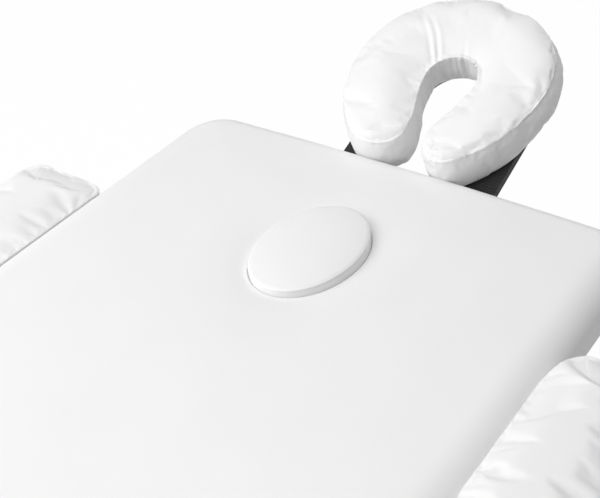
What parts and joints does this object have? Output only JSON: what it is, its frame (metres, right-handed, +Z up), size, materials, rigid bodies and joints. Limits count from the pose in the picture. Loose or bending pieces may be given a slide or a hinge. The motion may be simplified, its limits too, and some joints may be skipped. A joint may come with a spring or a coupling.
{
  "type": "folding massage table",
  "caption": "Folding massage table in two padded halves on an aluminium frame, with splayed folding legs, a tilting face cradle, a face plug and side armrests.",
  "frame": {"origin": "on the floor under the middle of the whole table with its face cradle", "axes": "+X toward the head end, +Y to the left of a person lying face down, +Z up"},
  "size_m": [2.1668, 0.8872, 0.8193],
  "materials": {
    "white_cover": "soft white leatherette with a fine grain",
    "foam": "open foam",
    "plywood": "sanded birch plywood",
    "aluminium": "satin anodised",
    "steel": "zinc plated",
    "black_plastic": "fine grained",
    "loop_fabric": "black loop fabric over plywood",
    "black_rubber": "matte"
  },
  "bodies": {
    "head_section": {"head_cover": "white_cover", "head_foam": "foam", "head_deck": "plywood", "head_side_rails": "aluminium", "head_cross_rails": "aluminium", "head_corners": "black_plastic", "head_deck_bars": "aluminium", "head_brace_brackets": "steel", "head_pivot_bolts": "steel", "head_hinge_plates": "steel", "cradle_sockets": "black_plastic", "armrest_bushes": "black_plastic", "handle_brackets": "steel"},
    "foot_section": {"foot_cover": "white_cover", "foot_foam": "foam", "foot_deck": "plywood", "foot_side_rails": "aluminium", "foot_cross_rails": "aluminium", "foot_corners": "black_plastic", "foot_deck_bars": "aluminium", "foot_brace_brackets": "steel", "foot_pivot_bolts": "steel", "foot_hinge_plates": "steel", "foot_sockets": "black_plastic", "latch_studs": "steel"},
    "head_legs": {"head_leg_frame": "aluminium", "head_leg_collars": "black_plastic"},
    "foot_legs": {"foot_leg_frame": "aluminium", "foot_leg_collars": "black_plastic"},
    "leg_extension_head_left": {"inner_tube_head_left": "aluminium", "rubber_foot_head_left": "black_rubber"},
    "knob_head_left": {"knob_head_left": "black_plastic"},
    "leg_extension_head_right": {"inner_tube_head_right": "aluminium", "rubber_foot_head_right": "black_rubber"},
    "knob_head_right": {"knob_head_right": "black_plastic"},
    "head_upper_links": {"head_upper_links": "steel"},
    "head_lower_links": {"head_lower_links": "steel"},
    "leg_extension_foot_left": {"inner_tube_foot_left": "aluminium", "rubber_foot_foot_left": "black_rubber"},
    "knob_foot_left": {"knob_foot_left": "black_plastic"},
    "leg_extension_foot_right": {"inner_tube_foot_right": "aluminium", "rubber_foot_foot_right": "black_rubber"},
    "knob_foot_right": {"knob_foot_right": "black_plastic"},
    "foot_upper_links": {"foot_upper_links": "steel"},
    "foot_lower_links": {"foot_lower_links": "steel"},
    "cradle_frame": {"cradle_posts": "steel", "cradle_yoke": "black_plastic"},
    "cradle": {"cradle_board": "loop_fabric", "cradle_ears": "steel", "cradle_cushion": "white_cover"},
    "cam_lever": {"cam_lever": "black_plastic"},
    "face_plug": {"face_plug": "white_cover"},
    "armrest_left": {"armrest_pad_left": "white_cover", "armrest_frame_left": "plywood"},
    "armrest_right": {"armrest_pad_right": "white_cover", "armrest_frame_right": "plywood"},
    "latch_left": {"latch_left": "steel"},
    "latch_right": {"latch_right": "steel"},
    "carry_handle": {"carry_handle": "black_plastic"}
  },
  "joints": [
    {"name": "fold", "type": "hinge", "parent": "head_section", "child": "foot_section", "pos_m": [-0.12227, 0, 0.576], "axis": [0, -1, 0], "range_deg": [0, 180]},
    {"name": "head_legs_fold", "type": "hinge", "parent": "head_section", "child": "head_legs", "pos_m": [0.69273, 0, 0.601], "axis": [0, 1, 0], "range_deg": [0, 102.1]},
    {"name": "head_left_height", "type": "slide", "parent": "head_legs", "child": "leg_extension_head_left", "axis": [0.2079, 0, -0.9781], "range_m": [-0.08, 0.13]},
    {"name": "knob_head_left_turn", "type": "hinge", "parent": "head_legs", "child": "knob_head_left", "pos_m": [0.78546, 0.2405, 0.16475], "axis": [0, 1, 0], "range_deg": [0, 270]},
    {"name": "head_right_height", "type": "slide", "parent": "head_legs", "child": "leg_extension_head_right", "axis": [0.2079, 0, -0.9781], "range_m": [-0.08, 0.13]},
    {"name": "knob_head_right_turn", "type": "hinge", "parent": "head_legs", "child": "knob_head_right", "pos_m": [0.78546, -0.2405, 0.16475], "axis": [0, -1, 0], "range_deg": [0, 270]},
    {"name": "head_brace_fold", "type": "hinge", "parent": "head_section", "child": "head_upper_links", "pos_m": [0.59273, 0, 0.61], "axis": [0, 1, 0], "range_deg": [0, 124.66]},
    {"name": "head_knee_fold", "type": "hinge", "parent": "head_upper_links", "child": "head_lower_links", "pos_m": [0.69183, 0, 0.46676], "axis": [0, -1, 0], "range_deg": [0, 173.57]},
    {"name": "foot_legs_fold", "type": "hinge", "parent": "foot_section", "child": "foot_legs", "pos_m": [-0.93727, 0, 0.601], "axis": [0, -1, 0], "range_deg": [0, 102.1]},
    {"name": "foot_left_height", "type": "slide", "parent": "foot_legs", "child": "leg_extension_foot_left", "axis": [-0.2079, 0, -0.9781], "range_m": [-0.08, 0.13]},
    {"name": "knob_foot_left_turn", "type": "hinge", "parent": "foot_legs", "child": "knob_foot_left", "pos_m": [-1.03, 0.1865, 0.16475], "axis": [0, 1, 0], "range_deg": [0, 270]},
    {"name": "foot_right_height", "type": "slide", "parent": "foot_legs", "child": "leg_extension_foot_right", "axis": [-0.2079, 0, -0.9781], "range_m": [-0.08, 0.13]},
    {"name": "knob_foot_right_turn", "type": "hinge", "parent": "foot_legs", "child": "knob_foot_right", "pos_m": [-1.03, -0.1865, 0.16475], "axis": [0, -1, 0], "range_deg": [0, 270]},
    {"name": "foot_brace_fold", "type": "hinge", "parent": "foot_section", "child": "foot_upper_links", "pos_m": [-0.83727, 0, 0.61], "axis": [0, -1, 0], "range_deg": [0, 124.66]},
    {"name": "foot_knee_fold", "type": "hinge", "parent": "foot_upper_links", "child": "foot_lower_links", "pos_m": [-0.93638, 0, 0.46676], "axis": [0, 1, 0], "range_deg": [0, 173.57]},
    {"name": "cradle_slide", "type": "slide", "parent": "head_section", "child": "cradle_frame", "axis": [1, 0, 0], "range_m": [0, 0.05]},
    {"name": "cradle_tilt", "type": "hinge", "parent": "cradle_frame", "child": "cradle", "pos_m": [0.85273, 0, 0.645], "axis": [0, 1, 0], "range_deg": [0, 40]},
    {"name": "cam_lever_flip", "type": "hinge", "parent": "cradle", "child": "cam_lever", "pos_m": [0.85273, -0.0916, 0.645], "axis": [-0.342, 0, 0.9397], "range_deg": [-90, 0]},
    {"name": "plug_lift", "type": "slide", "parent": "head_section", "child": "face_plug", "axis": [0, 0, 1], "range_m": [0, 0.09]},
    {"name": "armrest_left_slide", "type": "slide", "parent": "head_section", "child": "armrest_left", "axis": [0, 1, 0], "range_m": [0, 0.038]},
    {"name": "armrest_right_slide", "type": "slide", "parent": "head_section", "child": "armrest_right", "axis": [0, -1, 0], "range_m": [0, 0.038]},
    {"name": "latch_left_turn", "type": "hinge", "parent": "head_section", "child": "latch_left", "pos_m": [0.61773, 0.307, 0.601], "axis": [0, -1, 0], "range_deg": [0, 90]},
    {"name": "latch_right_turn", "type": "hinge", "parent": "head_section", "child": "latch_right", "pos_m": [0.61773, -0.307, 0.601], "axis": [0, -1, 0], "range_deg": [0, 90]},
    {"name": "handle_swing", "type": "hinge", "parent": "head_section", "child": "carry_handle", "pos_m": [0.34273, 0.315, 0.596], "axis": [1, 0, 0], "range_deg": [0, 100]}
  ],
  "couplings": [
    {"joint": "head_legs_fold", "follows": "fold", "ratio": 0.56667},
    {"joint": "head_brace_fold", "follows": "fold", "ratio": 0.69147},
    {"joint": "head_knee_fold", "follows": "fold", "ratio": 0.96314},
    {"joint": "foot_legs_fold", "follows": "fold", "ratio": 0.56667},
    {"joint": "foot_brace_fold", "follows": "fold", "ratio": 0.69147},
    {"joint": "foot_knee_fold", "follows": "fold", "ratio": 0.96314}
  ]
}
